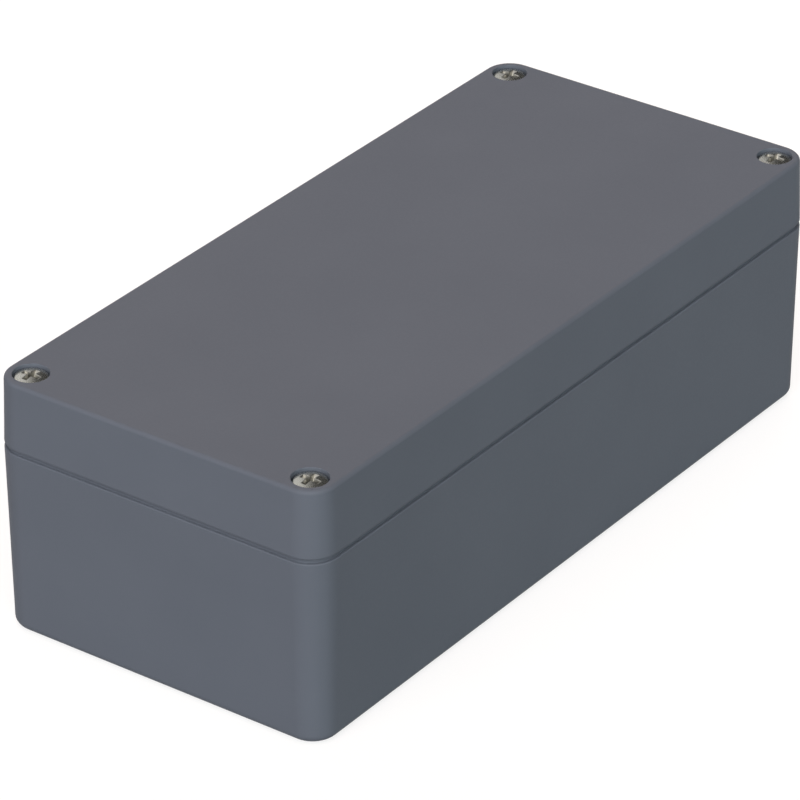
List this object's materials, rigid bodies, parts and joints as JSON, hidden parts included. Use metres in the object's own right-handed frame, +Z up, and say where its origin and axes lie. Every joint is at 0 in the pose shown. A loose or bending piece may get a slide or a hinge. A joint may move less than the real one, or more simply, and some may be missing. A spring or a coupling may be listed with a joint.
{
  "type": "plastic enclosure",
  "caption": "Closed rectangular wall-mounting plastic enclosure with a deep base, a gasketed lift-off lid and captive lid screws in counterbores at the corners.",
  "frame": {"origin": "centre of the underside of the base", "axes": "+X along the length, +Y across the width, +Z up through the lid"},
  "size_m": [0.175, 0.08, 0.057],
  "materials": {
    "housing": "satin, fine moulded grain",
    "seal": "matt black elastomer",
    "screw_steel": "stainless, cold formed",
    "insert_brass": "turned",
    "ring_nylon": "natural nylon"
  },
  "bodies": {
    "base": {"base": "housing", "pillar_insert_1": "insert_brass", "pillar_insert_2": "insert_brass", "pillar_insert_3": "insert_brass", "pillar_insert_4": "insert_brass", "floor_insert_1": "insert_brass", "floor_insert_2": "insert_brass", "floor_insert_3": "insert_brass", "floor_insert_4": "insert_brass", "floor_insert_5": "insert_brass", "floor_insert_6": "insert_brass"},
    "lid": {"lid": "housing", "gasket": "seal"},
    "ring_1": {"screw_retainer_1": "ring_nylon"},
    "screw_1": {"lid_screw_1": "screw_steel"},
    "ring_2": {"screw_retainer_2": "ring_nylon"},
    "screw_2": {"lid_screw_2": "screw_steel"},
    "ring_3": {"screw_retainer_3": "ring_nylon"},
    "screw_3": {"lid_screw_3": "screw_steel"},
    "ring_4": {"screw_retainer_4": "ring_nylon"},
    "screw_4": {"lid_screw_4": "screw_steel"}
  },
  "joints": [
    {"name": "lid_lift", "type": "slide", "parent": "base", "child": "lid", "axis": [0, 0, 1], "range_m": [0, 0.12]},
    {"name": "screw_1_rise", "type": "slide", "parent": "lid", "child": "ring_1", "axis": [0, 0, 1], "range_m": [0, 0.0084]},
    {"name": "screw_1_turn", "type": "hinge", "parent": "ring_1", "child": "screw_1", "pos_m": [-0.0815, -0.034, 0.0568], "axis": [0, 0, 1], "range_deg": [0, 4321]},
    {"name": "screw_2_rise", "type": "slide", "parent": "lid", "child": "ring_2", "axis": [0, 0, 1], "range_m": [0, 0.0084]},
    {"name": "screw_2_turn", "type": "hinge", "parent": "ring_2", "child": "screw_2", "pos_m": [0.0815, -0.034, 0.0568], "axis": [0, 0, 1], "range_deg": [0, 4321]},
    {"name": "screw_3_rise", "type": "slide", "parent": "lid", "child": "ring_3", "axis": [0, 0, 1], "range_m": [0, 0.0084]},
    {"name": "screw_3_turn", "type": "hinge", "parent": "ring_3", "child": "screw_3", "pos_m": [0.0815, 0.034, 0.0568], "axis": [0, 0, 1], "range_deg": [0, 4321]},
    {"name": "screw_4_rise", "type": "slide", "parent": "lid", "child": "ring_4", "axis": [0, 0, 1], "range_m": [0, 0.0084]},
    {"name": "screw_4_turn", "type": "hinge", "parent": "ring_4", "child": "screw_4", "pos_m": [-0.0815, 0.034, 0.0568], "axis": [0, 0, 1], "range_deg": [0, 4321]}
  ],
  "couplings": [
    {"joint": "screw_1_turn", "follows": "screw_1_rise", "rad_per_m": 8976},
    {"joint": "screw_2_turn", "follows": "screw_2_rise", "rad_per_m": 8976},
    {"joint": "screw_3_turn", "follows": "screw_3_rise", "rad_per_m": 8976},
    {"joint": "screw_4_turn", "follows": "screw_4_rise", "rad_per_m": 8976}
  ]
}
